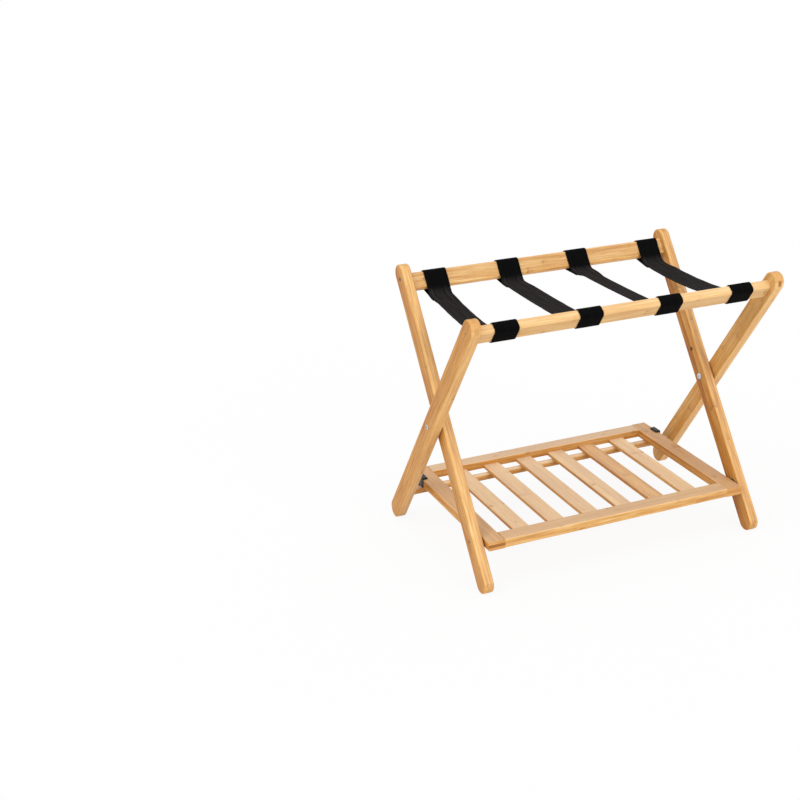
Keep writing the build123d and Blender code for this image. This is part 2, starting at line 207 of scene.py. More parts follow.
def bamboo(name, grain, strip, ply, seed=0.0, tone=0.0, figure=1.0, far_side_shade=0.0, wash=0.0, top_highlight=0.0,
           side_face_shade=0.0, flat_axis=None, core=0.0, end_core=0.0, core_reach=2.0, core_side=0.35):
    """Laminated bamboo: strips glued side by side in plies, with fibres, nodes, flecks and end grain.

    strip and ply are (start, size) of the glued strips across and through the piece. tone lightens the
    wood, figure strengthens its fibres, and far_side_shade paints shade on the pieces on the right or rear
    side; a negative value paints light on them instead. wash makes the whole piece paler, paleness paints
    a pale highlight on the faces that face up, and sides paints shade on the others. With a flat_axis, the
    faces that don't face that way, which show the plies' edges, are paler. core darkens one ply and
    end_core its end grain: on a round end up to core_reach, and with core_side more on one side than on
    the other.
    """
    graph = Graph(name)
    coordinates = graph.node("ShaderNodeTexCoord")
    split = graph.node("ShaderNodeSeparateXYZ", coordinates.outputs["Object"])
    along, across, through, side, axis = grain(graph, split.outputs)
    drift = graph.noise(graph.vector(graph.scaled(along, 2.2), graph.scaled(across, 9.0), side), 1.0)
    drift = graph.scaled(graph.math("SUBTRACT", drift, 0.5), 0.005)
    across_cell = graph.scaled(graph.math("SUBTRACT", across, strip[0]), 1.0 / strip[1])
    through_cell = graph.scaled(graph.math("SUBTRACT", through, ply[0]), 1.0 / ply[1])
    ply_number = graph.math("FLOOR", through_cell)
    cell_seed = graph.math("ADD", side, seed)
    cell = graph.vector(graph.math("FLOOR", across_cell), ply_number, cell_seed)
    white = graph.node("ShaderNodeTexWhiteNoise", cell, noise_dimensions="3D")
    chance = graph.node("ShaderNodeSeparateColor", white.outputs["Color"]).outputs
    in_core = graph.math("COMPARE", ply_number, CORE_PLY, 0.2)
    across_bent = graph.math("ADD", across, drift)

    def fibres(along_scale, across_scale, detail, roughness):
        return graph.noise(
            graph.vector(graph.scaled(along, along_scale), graph.scaled(across_bent, across_scale),
                         graph.scaled(through, across_scale)),
            detail, roughness)

    fine = fibres(26.0, 520.0, 3.0, 0.6)
    streak = fibres(11.0, 230.0, 3.0, 0.6)
    broad = fibres(4.5, 80.0, 2.0, 0.5)
    cloud = graph.noise(
        graph.vector(graph.scaled(along, 6.0), graph.scaled(across, 18.0), cell_seed), 2.0)
    dash = graph.step(fibres(60.0, 720.0, 1.0, 0.4), 0.63, 0.73)

    ripple = graph.noise(
        graph.vector(graph.scaled(across, 130.0), graph.scaled(through, 130.0), graph.scaled(along, 8.0)),
        1.0)
    turn = graph.math("ADD", graph.scaled(along, 1.0 / NODE_GAP), graph.scaled(chance[0], 5.0))
    off_node = graph.scaled(graph.math("SUBTRACT", graph.math("FRACT", turn), 0.5), NODE_GAP)
    off_node = graph.math("ADD", off_node, graph.scaled(graph.math("SUBTRACT", ripple, 0.5), 0.012))
    off_line = graph.math("ABSOLUTE", off_node)
    node_line = graph.step(off_line, 0.0003, 0.0018, 1.0, 0.0)
    halo_fade = graph.step(off_node, 0.001, 0.024, 1.0, 0.0)
    node_halo = graph.math("MULTIPLY", graph.step(off_node, -0.001, 0.0008), halo_fade)
    strong = graph.step(chance[2], 0.35, 0.95, 0.25, 1.0)
    knot = graph.noise(
        graph.vector(graph.scaled(across, 150.0), graph.scaled(through, 60.0), cell_seed), 1.0)
    strong = graph.math("MULTIPLY", strong, graph.step(knot, 0.42, 0.62, 0.35, 1.0))
    node_line = graph.math("MULTIPLY", node_line, strong)
    node_halo = graph.math("MULTIPLY", node_halo, strong)

    bud_place = graph.math("MULTIPLY_ADD", chance[2], 0.5, 0.25)
    off_bud = graph.math("ABSOLUTE", graph.math("SUBTRACT", graph.math("FRACT", across_cell), bud_place))
    bud = graph.math("ADD", graph.scaled(off_line, 1.0 / 0.010), graph.scaled(off_bud, strip[1] / 0.0038))
    bud = graph.math("MULTIPLY", graph.step(bud, 0.25, 1.0, 1.0, 0.0), graph.step(chance[1], 0.25, 0.6))

    def seam(cell_value, size):
        edge = graph.math("ABSOLUTE", graph.math("SUBTRACT", graph.math("FRACT", cell_value), 0.5))
        return graph.step(edge, 0.5 - 0.0006 / size, 0.5 - 0.0001 / size)

    strip_seam = graph.scaled(seam(across_cell, strip[1]), 0.7)
    glue = graph.math("MAXIMUM", strip_seam, seam(through_cell, ply[1]))

    def add_part(value, share, start):
        return graph.math("MULTIPLY_ADD", graph.math("SUBTRACT", value, 0.5), share, start)

    shade = graph.math("MULTIPLY_ADD", chance[1], 0.30, 0.36 + tone)
    shade = add_part(fine, 0.70 * figure, shade)
    shade = add_part(streak, figure, shade)
    shade = add_part(broad, 0.50 * figure, shade)
    shade = add_part(cloud, 0.45, shade)
    shade = graph.math("MULTIPLY_ADD", in_core, -core, shade)
    # Painted shade on the pieces on the right or rear side; a negative far_side_shade paints light there
    # instead
    if far_side_shade:
        right_or_rear = graph.math("GREATER_THAN", side, 0.0)
        shade = graph.math("MULTIPLY_ADD", right_or_rear, -far_side_shade, shade)
    colour = graph.ramp(shade, (
        (0.0, srgb(162, 93, 31)),
        (0.35, srgb(204, 140, 61)),
        (0.65, srgb(227, 171, 92)),
        (1.0, srgb(246, 207, 142)),
    ))
    if wash:
        colour = graph.mix(wash, colour, PALE_WOOD)
    if flat_axis:
        flat = graph.math("ABSOLUTE", graph.dot(coordinates.outputs["Normal"], flat_axis))
        colour = graph.mix(graph.step(flat, 0.35, 0.85, 0.28, 0.0), colour, PALE_WOOD)
    # Painted highlight on the faces that face up, and painted shade on the faces that don't
    if top_highlight:
        upward = graph.dot(coordinates.outputs["Normal"], (0.0, 0.0, 1.0))
        colour = graph.mix(graph.step(upward, 0.3, 0.9, 0.0, top_highlight), colour, srgb(238, 211, 178))
        colour = graph.mix(graph.step(upward, 0.3, 0.9, side_face_shade, 0.0), colour, srgb(176, 112, 48))
    colour = graph.mix(graph.scaled(dash, 0.17), colour, srgb(150, 88, 38))
    colour = graph.mix(graph.scaled(node_halo, 0.38), colour, srgb(170, 104, 46))
    colour = graph.mix(graph.scaled(node_line, 0.60), colour, srgb(118, 66, 28))
    colour = graph.mix(graph.scaled(bud, 0.24), colour, srgb(132, 76, 32))
    colour = graph.mix(graph.scaled(glue, 0.30), colour, srgb(150, 92, 42))
    facing = graph.math("ABSOLUTE", graph.dot(coordinates.outputs["Normal"], axis))
    end = graph.step(facing, 0.45, 0.80)
    pores = graph.node("ShaderNodeTexVoronoi", graph.vector(across, through, 0.0), None, 620.0)
    pore = graph.step(pores.outputs["Distance"], 0.12, 0.42, 1.0, 0.0)
    end_colour = graph.mix(graph.scaled(pore, 0.40), srgb(222, 168, 102), srgb(160, 102, 50))
    end_colour = graph.mix(graph.scaled(chance[2], 0.35), end_colour, srgb(170, 110, 56))
    colour = graph.mix(graph.scaled(end, 0.75), colour, end_colour)
    if end_core:
        patch_fade = graph.step(facing, core_reach, core_reach + 0.15, 1.0, 0.0)
        patch = graph.math("MULTIPLY", graph.step(facing, 0.15, 0.40), patch_fade)
        patch = graph.math("MULTIPLY", graph.scaled(in_core, end_core), patch)
        patch = graph.math("MULTIPLY", patch, graph.math("MULTIPLY_ADD", side, core_side, 0.65))
        colour = graph.mix(patch, colour, srgb(146, 84, 36))

    rough = add_part(fine, 0.16, 0.44)
    rough = graph.math("MULTIPLY_ADD", end, 0.15, rough)
    height = graph.math("MULTIPLY_ADD", fine, 0.5, graph.scaled(streak, 0.3))
    height = graph.math("SUBTRACT", height, graph.scaled(dash, 0.35))
    height = graph.math("SUBTRACT", height, graph.scaled(glue, 0.5))
    height = graph.math("MULTIPLY_ADD", node_halo, 0.3, height)
    graph.bump(height, 0.00012, 0.6)
    graph.set(Base_Color=colour, Roughness=rough, Specular_IOR_Level=0.18, Coat_Weight=0.03,
              Coat_Roughness=0.30)
    return graph.material


def speckled(name, dark, light, roughness, scale, bump_depth, metallic=0.0, specular=0.5):
    """A moulded or plated finish: two close colours, a fine grain and slightly uneven gloss."""
    graph = Graph(name)
    coordinates = graph.node("ShaderNodeTexCoord").outputs["Object"]
    grain = graph.noise(graph.stretched(coordinates, scale), 3.0, 0.6)
    cloud = graph.noise(graph.stretched(coordinates, scale / 9.0), 2.0)
    colour = graph.mix(graph.step(grain, 0.3, 0.7), dark, light)
    rough = graph.math("MULTIPLY_ADD", graph.math("SUBTRACT", cloud, 0.5), 0.2, roughness)
    graph.bump(grain, bump_depth, 0.5)
    graph.set(Base_Color=colour, Roughness=rough, Metallic=metallic, Specular_IOR_Level=specular)
    return graph.material


RIB_PITCH = 0.0021
PICK_PITCH = 0.0017


def webbing(name):
    """Woven strap: ribs along it, picks across it, dark selvages, near black round a rail as painted shade.
    """
    graph = Graph(name)
    flat = graph.node("ShaderNodeUVMap", uv_map="cloth").outputs[0]
    split = graph.node("ShaderNodeSeparateXYZ", flat).outputs
    across, along = split[0], split[1]
    rib = graph.math("SINE", graph.scaled(across, 2.0 * math.pi / RIB_PITCH))
    pick = graph.math("SINE", graph.scaled(along, 2.0 * math.pi / PICK_PITCH))
    weave = graph.math("MULTIPLY_ADD", graph.math("MULTIPLY", rib, pick), 0.5, 0.5)

    def threads(across_scale, along_scale, place, detail, roughness):
        return graph.noise(
            graph.vector(graph.scaled(across, across_scale), graph.scaled(along, along_scale), place),
            detail, roughness)

    fuzz = threads(900.0, 500.0, 0.0, 3.0, 0.65)
    streak = threads(260.0, 9.0, 4.0, 2.0, 0.55)
    patch = threads(60.0, 45.0, 9.0, 2.0, 0.5)
    loop_shading = graph.node("ShaderNodeAttribute", attribute_name="loop_shading").outputs["Fac"]
    shade = graph.math("MULTIPLY_ADD", weave, 0.34, graph.scaled(fuzz, 0.42))
    shade = graph.math("MULTIPLY_ADD", graph.math("SUBTRACT", streak, 0.5), 1.1, shade)
    shade = graph.math("MULTIPLY_ADD", graph.math("SUBTRACT", patch, 0.5), 0.3, shade)
    # The same webbing lit on the span, and near black in painted shade where it goes round a rail
    lit_span = graph.ramp(shade, ((0.1, srgb(16, 14, 14)), (0.5, srgb(36, 33, 33)), (0.9, srgb(64, 60, 58))))
    shaded_loop = graph.ramp(shade, ((0.1, srgb(2, 2, 2)), (0.5, srgb(5, 5, 5)), (0.9, srgb(11, 10, 10))))
    colour = graph.mix(loop_shading, lit_span, shaded_loop)
    rim = graph.step(graph.math("ABSOLUTE", across), 0.0222, 0.0244)
    colour = graph.mix(graph.scaled(rim, 0.45), colour, srgb(20, 19, 19))
    rough = graph.math("MULTIPLY_ADD", graph.math("SUBTRACT", fuzz, 0.5), 0.14, 0.86)
    height = graph.math("MULTIPLY_ADD", fuzz, 0.35, graph.scaled(weave, 0.8))
    graph.bump(height, 0.00022, 0.8)
    graph.set(Base_Color=colour, Roughness=rough, Specular_IOR_Level=0.07)
    return graph.material


LEG_STRIP = (-0.0195, 0.0195)
LEG_PLY = (-0.00015, 0.0071)
LEG_FLAT = (1.0, 0.0, 0.0)
TOP_STRIP = (0.2800, 0.0124)
TOP_PLY = (-0.01015, 0.0068)
RAIL_STRIP = (-0.1760, 0.0123)
SLAT_STRIP = (-0.2913, 0.0182)
SHELF_PLY = (0.07735, 0.0061)
DOWEL_CELL = (0.0, 0.02)
METAL_GRAIN = {"scale": 2600.0, "bump_depth": 0.00003, "metallic": 1.0}
MATERIALS = {
    "outer_leg": bamboo("bamboo_outer_legs", outer_leg_grain, LEG_STRIP, LEG_PLY, seed=1.0, tone=0.05,
                        far_side_shade=-0.05, flat_axis=LEG_FLAT, core=0.05, end_core=0.8, core_reach=0.72),
    "inner_leg": bamboo("bamboo_inner_legs", inner_leg_grain, LEG_STRIP, LEG_PLY, seed=7.0, tone=-0.11,
                        figure=1.3, far_side_shade=0.06, flat_axis=LEG_FLAT, core=0.05, end_core=0.3,
                        core_reach=0.72),
    "top_rail": bamboo("bamboo_top_rails", top_rail_grain, TOP_STRIP, TOP_PLY, seed=3.0, tone=0.10,
                       figure=1.7, wash=0.18, top_highlight=0.15),
    "front_rail": bamboo("bamboo_front_rail", top_rail_grain, TOP_STRIP, TOP_PLY, seed=3.0, tone=0.10,
                         wash=0.38, top_highlight=0.10),
    "long_rail": bamboo("bamboo_long_rails", long_rail_grain, RAIL_STRIP, SHELF_PLY, seed=5.0, tone=0.02,
                        figure=1.4, wash=0.15, top_highlight=0.56),
    "rear_rail": bamboo("bamboo_rear_rails", long_rail_grain, RAIL_STRIP, SHELF_PLY, seed=5.0, tone=0.02,
                        figure=1.3, top_highlight=0.82, side_face_shade=0.40),
    "side_rail": bamboo("bamboo_side_rails", shelf_grain, SLAT_STRIP, SHELF_PLY, seed=9.0, tone=0.02,
                        far_side_shade=0.12, top_highlight=0.45, side_face_shade=0.15, end_core=0.8, core_side=-0.35),
    "slat": bamboo("bamboo_slats", shelf_grain, SLAT_STRIP, SHELF_PLY, seed=9.0, tone=0.02, top_highlight=0.64,
                   side_face_shade=0.35),
    "dark_slat": bamboo("bamboo_dark_slat", shelf_grain, SLAT_STRIP, SHELF_PLY, seed=9.0, tone=-0.14,
                        top_highlight=0.34, side_face_shade=0.35),
    "dowel": bamboo("dowel_wood", long_rail_grain, DOWEL_CELL, DOWEL_CELL, seed=13.0),
    "zinc": speckled("zinc_steel", (0.50, 0.51, 0.54, 1.0), (0.72, 0.74, 0.78, 1.0), 0.24, **METAL_GRAIN),
    "warm_zinc": speckled("warm_zinc", srgb(168, 122, 72), srgb(206, 164, 110), 0.34, **METAL_GRAIN),
    "dark_zinc": speckled("dark_zinc", srgb(64, 48, 36), srgb(104, 84, 66), 0.34, **METAL_GRAIN),
    "nylon": speckled("washer_nylon", srgb(22, 21, 20), srgb(34, 32, 31), 0.5, 900.0, 0.00004),
    "plastic": speckled("clip_plastic", srgb(7, 7, 8), srgb(13, 13, 14), 0.42, 1500.0, 0.00006,
                        specular=0.3),
    "webbing": webbing("webbing"),
    "thread": speckled("strap_thread", srgb(16, 16, 16), srgb(34, 33, 33), 0.6, 3000.0, 0.00003,
                       specular=0.3),
}
NODE_MATERIALS = (
    ("outer_leg", "outer_leg"),
    ("inner_leg", "inner_leg"),
    ("front_top_rail", "front_rail"),
    ("rear_top_rail", "top_rail"),
    ("rear_lower_bar", "rear_rail"),
    ("shelf_front_rail", "long_rail"),
    ("shelf_rear_rail", "rear_rail"),
    ("shelf_side_rail", "side_rail"),
    ("shelf_slat_5", "dark_slat"),
    ("shelf_slat", "slat"),
    ("pivot_washer", "nylon"),
    ("shelf_pivot_washer", "nylon"),
    ("hook_clip", "plastic"),
    ("strap", "webbing"),
    ("pivot_", "zinc"),
    ("catch_stud", "dark_zinc"),
    ("shelf_pivot_bolt", "zinc"),
    ("front_rail_screws", "zinc"),
    ("rear_rail_screws", "zinc"),
    ("clip_screws", "zinc"),
)

for node_name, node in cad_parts.items():
    found = [key for prefix, key in NODE_MATERIALS if node_name.startswith(prefix)]
    material = MATERIALS[found[0] if found else "dowel"]
    if node.material_slots:
        for place in node.material_slots:
            place.material = material
    else:
        node.data.materials.append(material)


RING_SIDES = 36
SMOOTH_ANGLE = 0.5


def ring_radius(shape, radius, angle):
    """A ring's radius at an angle: round, or the opening of a hexagonal or cross-shaped drive."""
    if shape == "hex":
        return radius * math.cos(math.pi / 6) / math.cos(angle % (math.pi / 3) - math.pi / 6)
    if shape == "cross":
        return radius * (0.34 + 0.66 * abs(math.cos(2.0 * angle)) ** 3)
    return radius


def make_fasteners(node_name, body, outline, metal="zinc", pair_length=None, outward=1.0):
    """Turned fasteners with a drive in the head, in place of a CAD node that holds one of them or a pair.

    A row of the outline is (depth, radius, shape), from the floor of the drive over the head to the tip of
    the shank. The head's face is at depth 0, on the node's outer side, or on its inner side with outward
    -1. A depth below 0 is counted back from the tip.
    """
    low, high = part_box(node_name)
    middle = (low[1] + high[1]) / 2, (low[2] + high[2]) / 2
    ends = (-1.0, 1.0) if pair_length else (math.copysign(1.0, low[0] + high[0]),)
    length = pair_length or high[0] - low[0]
    mesh = bmesh.new()
    for end in ends:
        reach = (max if outward > 0 else min)(abs(low[0]), abs(high[0]))
        draw = random.Random(f"{node_name}{end}")
        turn = draw.uniform(0.0, math.pi)
        rings = []
        for depth, radius, shape in outline:
            depth = depth if depth >= 0.0 else length + depth
            ring = []
            for index in range(RING_SIDES):
                angle = 2.0 * math.pi * index / RING_SIDES
                size = ring_radius(shape, radius, angle)
                ring.append(mesh.verts.new((
                    end * (reach - outward * depth),
                    middle[0] + size * math.cos(angle + turn),
                    middle[1] + size * math.sin(angle + turn))))
            rings.append(ring)
        mesh.faces.new(rings[0])
        mesh.faces.new(reversed(rings[-1]))
        for first, second in zip(rings, rings[1:]):
            for index in range(RING_SIDES):
                after = (index + 1) % RING_SIDES
                mesh.faces.new((first[index], first[after], second[after], second[index]))
    bmesh.ops.recalc_face_normals(mesh, faces=mesh.faces)
    for edge in mesh.edges:
        edge.smooth = edge.calc_face_angle(0.0) < SMOOTH_ANGLE
    for face in mesh.faces:
        face.smooth = True
    data = bpy.data.meshes.new(f"{node_name}_turned")
    mesh.to_mesh(data)
    mesh.free()
    data.materials.append(MATERIALS[metal])
    made = bpy.data.objects.new(f"{node_name}_turned", data)
    bpy.context.scene.collection.objects.link(made)
    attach(made, body)
    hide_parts(node_name)


RAIL_SCREW = (
    (0.0028, 0.0010, "cross"), (0.0, 0.0026, "cross"), (0.0, 0.0040, "round"), (0.0003, 0.0043, "round"),
    (0.0023, 0.0020, "round"), (-0.0005, 0.0020, "round"), (-0.0001, 0.0016, "round"),
)
PIVOT_BOLT = (
    (0.0016, 0.0021, "hex"), (0.0, 0.0023, "hex"), (0.0, 0.0034, "round"), (0.00025, 0.0042, "round"),
    (0.0010, 0.0050, "round"), (0.0020, 0.0050, "round"), (0.0020, 0.0029, "round"),
    (-0.0005, 0.0029, "round"), (-0.0001, 0.0025, "round"),
)
BARREL = (
    (0.0012, 0.0024, "hex"), (0.0, 0.0026, "hex"), (0.0, 0.0054, "round"), (0.0003, 0.0064, "round"),
    (0.0009, 0.0070, "round"), (0.0020, 0.0070, "round"), (0.0020, 0.0040, "round"),
    (-0.0001, 0.0040, "round"), (-0.0001, 0.0030, "round"), (-0.0275, 0.0030, "round"),
)
SHELF_BOLT = (
    (0.0014, 0.0021, "hex"), (0.0, 0.0023, "hex"), (0.0, 0.0044, "round"), (0.0005, 0.0050, "round"),
    (0.0025, 0.0050, "round"), (0.0025, 0.0030, "round"), (-0.0005, 0.0030, "round"),
    (-0.0001, 0.0025, "round"),
)
CLIP_SCREW = (
    (0.0012, 0.0007, "cross"), (0.0, 0.0016, "cross"), (0.0, 0.0026, "round"), (0.0002, 0.0028, "round"),
    (0.0015, 0.0015, "round"), (-0.0004, 0.0015, "round"), (-0.0001, 0.0012, "round"),
)
RAIL_SCREW_LENGTH = 0.053
CLIP_SCREW_LENGTH = 0.014
make_fasteners("front_rail_screws", "outer_frame", RAIL_SCREW, "warm_zinc", RAIL_SCREW_LENGTH)
make_fasteners("rear_rail_screws", "inner_frame", RAIL_SCREW, "dark_zinc", RAIL_SCREW_LENGTH)
make_fasteners("clip_screws", "shelf", CLIP_SCREW, "dark_zinc", CLIP_SCREW_LENGTH)
for end in ("left", "right"):
    make_fasteners(f"pivot_bolt_{end}", "outer_frame", PIVOT_BOLT)
    make_fasteners(f"pivot_barrel_{end}", "outer_frame", BARREL, outward=-1.0)
    make_fasteners(f"shelf_pivot_bolt_{end}", "shelf", SHELF_BOLT, "warm_zinc")

STRAP_WIDTH = 0.050
STRAP_THICKNESS = 0.002
STRAP_CLEARANCE = 0.0003
RAIL_FROM_PIVOT = 0.2985
RAIL_CENTRE = (RAIL_FROM_PIVOT * SIN, PIVOT_Z + RAIL_FROM_PIVOT * COS)
RAIL_HALF_HEIGHT = 0.018
RAIL_HALF_THICKNESS = 0.010
RAIL_ROUND = 0.006
ROW_STEP = 0.004
BEND = 0.007
SEAM_END = 0.128
SEAM_END_Z = 0.5025
SEAM_GAP = 0.0002
TAIL_OVERRUN = 0.001
LOOP_INSIDE = 0.155

# How far the rear and front seams lie above SEAM_END_Z, how far the middle hangs, and the strap's twist
STRAPS = (
    {"rear": -0.0085, "front": -0.0065, "sag": 0.0070, "twist": -0.08},
    {"rear": -0.0035, "front": 0.0013, "sag": 0.0018, "twist": 0.035},
    {"rear": 0.0008, "front": 0.0008, "sag": 0.0015, "twist": -0.18},
    {"rear": -0.0062, "front": 0.0025, "sag": 0.0055, "twist": 0.06},
)


def rail_point(inward, up):
    """A point of the rail's section as (distance from the middle of the rack, height)."""
    out, height = RAIL_CENTRE
    return (out - inward * COS + up * SIN, height + inward * SIN + up * COS)


def smooth(points, step):
    """Points at most step apart on a Catmull-Rom curve through the given ones."""
    padded = [points[0], *points, points[-1]]
    found = []
    for before, start, end, after in zip(padded, padded[1:], padded[2:], padded[3:]):
        count = max(1, math.ceil(math.dist(start, end) / step))
        for index in range(count):
            t = index / count
            found.append(tuple(
                0.5 * (2 * b + (c - a) * t + (2 * a - 5 * b + 4 * c - d) * t * t
                       + (3 * b - a - 3 * c + d) * t * t * t)
                for a, b, c, d in zip(before, start, end, after)))
    found.append(points[-1])
    return found


def corner(inward, up, radius, start, end, count=7):
    """Points round a corner of the rail's section; angles are from the inward side, towards the top."""
    angles = [math.radians(start + (end - start) * index / count) for index in range(count + 1)]
    return [rail_point(inward + radius * math.cos(a), up + radius * math.sin(a)) for a in angles]


def half_path(seam_z, slope):
    """The strap's middle layer from the end of its seam, round the rail, to the end of its sewn tail.

    The upper layer runs on in the plane of the rail's inner face until it meets the seam, which rises with
    the slope from seam_z at its end. The tail leaves the rail's lowest corner and lies under the seam.
    """
    layer = STRAP_CLEARANCE + STRAP_THICKNESS / 2
    radius = RAIL_ROUND + layer
    across = RAIL_HALF_THICKNESS - RAIL_ROUND
    tall = RAIL_HALF_HEIGHT - RAIL_ROUND
    face = RAIL_HALF_THICKNESS + layer
    face_out, face_z = rail_point(face, -tall)
    drop = (face_z - seam_z - slope * (face_out - SEAM_END)) / (COS - slope * SIN)
    bend = (face_out - drop * SIN, face_z - drop * COS)
    before = (bend[0] - BEND, bend[1] - BEND * slope)
    after = (bend[0] + BEND * SIN, bend[1] + BEND * COS)
    lift = [(SEAM_END, seam_z)]
    for share in (0.0, 0.25, 0.5, 0.75, 1.0):
        weights = ((1.0 - share) ** 2, 2.0 * share * (1.0 - share), share ** 2)
        lift.append(tuple(
            sum(weight * value for weight, value in zip(weights, values))
            for values in zip(before, bend, after)))
    lift += [(face_out, face_z), rail_point(face, 0.0), rail_point(face, tall)]
    loop = corner(across, tall, radius, 0.0, 90.0)
    loop += corner(-across, tall, radius, 90.0, 180.0)
    loop += [rail_point(-face, 0.0)]
    under = STRAP_THICKNESS + SEAM_GAP
    meet = (before[0], before[1] - under)
    tail_end = (SEAM_END - TAIL_OVERRUN, seam_z - under)
    lowest = 270.0 - math.degrees(LEAN)
    low_out, low_z = corner(-across, -tall, radius, lowest, lowest)[0]
    rise = math.degrees(math.atan2(meet[1] - low_z, low_out - meet[0]))
    loop += corner(-across, -tall, radius, 180.0, lowest + rise, 6)
    tail = smooth([loop[-1], meet], ROW_STEP)[:-1] + smooth([meet, tail_end], ROW_STEP)
    return lift, loop, tail


def ease(value):
    """A smooth change from 0 to 1 while value goes from 0 to 1."""
    value = min(max(value, 0.0), 1.0)
    return value * value * (3.0 - 2.0 * value)


def fractions(count):
    """Evenly spaced numbers from -1 to 1."""
    return [-1.0 + 2.0 * index / (count - 1) for index in range(count)]


def strap_rows(number, strap):
    """The strap's line from its rear tail to its front tail as (middle x, y, z)."""
    fall = 2.0 * strap["sag"] / SEAM_END
    lean = (strap["rear"] - strap["front"]) / (2.0 * SEAM_END)
    lift, loop, tail = half_path(SEAM_END_Z + strap["rear"], fall + lean)
    front_lift, front_loop, front_tail = half_path(SEAM_END_Z + strap["front"], fall - lean)
    span = []
    for share in fractions(49):
        level = (strap["rear"] + strap["front"]) / 2 - share * (strap["rear"] - strap["front"]) / 2
        span.append((-share * SEAM_END, SEAM_END_Z + level - strap["sag"] * (1.0 - share * share)))
    rear = list(reversed(tail)) + list(reversed(loop[:-1]))
    front = [(-out, height) for out, height in front_loop[:-1] + front_tail]
    between = list(reversed(lift[1:])) + span + [(-out, height) for out, height in front_lift[1:]]
    line = rear[:-1] + smooth(between, ROW_STEP) + front[1:]
    middles = []
    for place in ("front", "rear"):
        low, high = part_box(f"strap_{number}_{place}_loop")
        middles.append((low[0] + high[0]) / 2)
    rows = []
    for y, z in line:
        share = ease((y + LOOP_INSIDE) / (2.0 * LOOP_INSIDE))
        rows.append((middles[0] + (middles[1] - middles[0]) * share, y, z))
    return rows


# The strap's section, with rounded selvages, in halves of its width and thickness
PROFILE = [(-1.0, 0.0), (-0.985, 0.62), (-0.95, 1.0)]
PROFILE += [(-0.95 + 1.9 * step / 12, 1.0) for step in range(1, 12)]
PROFILE += [(0.95, 1.0), (0.985, 0.62), (1.0, 0.0), (0.985, -0.62), (0.95, -1.0)]
PROFILE += [(0.95 - 1.9 * step / 12, -1.0) for step in range(1, 12)]
PROFILE += [(-0.95, -1.0), (-0.985, -0.62)]

FREE_INSIDE = 0.092
FREE_FADE = 0.032
# Where the painted shade of the loops round the rails begins, and over what length it fades in
LOOP_SHADE_OUTSIDE = 0.146
LOOP_SHADE_FADE = 0.010
WANDER = 0.0002
CUP = 0.0009
FULL_TURN = 6.28


def strap_stations(number, strap):
    """Rows along the strap: length so far, middle x, y, z, the normal's y and z, and how free it hangs."""
    rows = strap_rows(number, strap)
    draw = random.Random(40 + number)
    waves = [
        (draw.uniform(9.0, 30.0), draw.uniform(0.0, FULL_TURN), draw.uniform(0.2, 1.0)) for _ in range(4)]
    last = len(rows) - 1
    length = 0.0
    stations = []
    for index, (middle, y, z) in enumerate(rows):
        if index:
            length += math.dist(rows[index - 1][1:], (y, z))
        before = rows[max(index - 1, 0)]
        after = rows[min(index + 1, last)]
        run = Vector((after[1] - before[1], after[2] - before[2])).normalized()
        free = 1.0 - ease((abs(y) - FREE_INSIDE) / FREE_FADE)
        wander = sum(
            reach * math.sin(rate * length * FULL_TURN + phase) for rate, phase, reach in waves)
        stations.append((length, middle + wander * WANDER, y, z, run.y, -run.x, free))
    return stations


def strap_point(strap, station, offset, height):
    """A point of the strap, given by its offset from the middle and its height off the middle layer."""
    _, middle, y, z, normal_y, normal_z, free = station
    share = 2.0 * offset / STRAP_WIDTH
    hang = strap["twist"] * offset + CUP * (share * share - 0.3)
    return Vector((middle + offset, y + normal_y * height, z + normal_z * height + hang * free))


def station_at(stations, length):
    """The station at a length along the strap, between the two nearest made ones."""
    for first, second in zip(stations, stations[1:]):
        if length <= second[0]:
            share = (length - first[0]) / (second[0] - first[0])
            return tuple(a + (b - a) * share for a, b in zip(first, second))
    return stations[-1]


PAST_TAIL = 0.1


def seam_lengths(stations):
    """Lengths at which the strap's upper layer passes the ends of its rear and front tails."""
    whole = stations[-1][0]
    rear_half = [row for row in stations if PAST_TAIL < row[0] < whole / 2]
    front_half = [row for row in stations if whole / 2 < row[0] < whole - PAST_TAIL]
    rear = min(rear_half, key=lambda row: abs(row[2] - SEAM_END))
    front = min(front_half, key=lambda row: abs(row[2] + SEAM_END))
    return rear[0], front[0]


STITCH_SIDES = 6
STITCH_RINGS = ((-1.0, 0.25), (-0.7, 0.9), (0.0, 1.0), (0.7, 0.9), (1.0, 0.25))
STITCH_HALF_LENGTH = 0.0012
STITCH_RADIUS = 0.00036
STITCH_SINK = 0.0003
STITCH_LIFT = 0.0001


def add_stitch(verts, faces, centre, run, up):
    """One stitch: a short thread that dives into the webbing at both ends."""
    side = run.cross(up)
    base = len(verts)
    for place, size in STITCH_RINGS:
        sink = STITCH_SINK * place * place
        for index in range(STITCH_SIDES):
            angle = 2.0 * math.pi * index / STITCH_SIDES
            around = (up * math.cos(angle) + side * math.sin(angle)) * (STITCH_RADIUS * size)
            verts.append(centre + run * (STITCH_HALF_LENGTH * place) - up * sink + around)
    last = base + (len(STITCH_RINGS) - 1) * STITCH_SIDES
    for first in range(base, last, STITCH_SIDES):
        second = first + STITCH_SIDES
        for index in range(STITCH_SIDES):
            after = (index + 1) % STITCH_SIDES
            faces.append((first + index, first + after, second + after, second + index))
    faces.append(tuple(range(base + STITCH_SIDES - 1, base - 1, -1)))
    faces.append(tuple(range(last, last + STITCH_SIDES)))


SEAM_HALF_WIDTH = 0.0215
SEAM_MIDDLE = 0.01425
SEAM_HALF_LENGTH = 0.01125
DIAGONAL_X = 0.886
DIAGONAL_RUN = 0.464


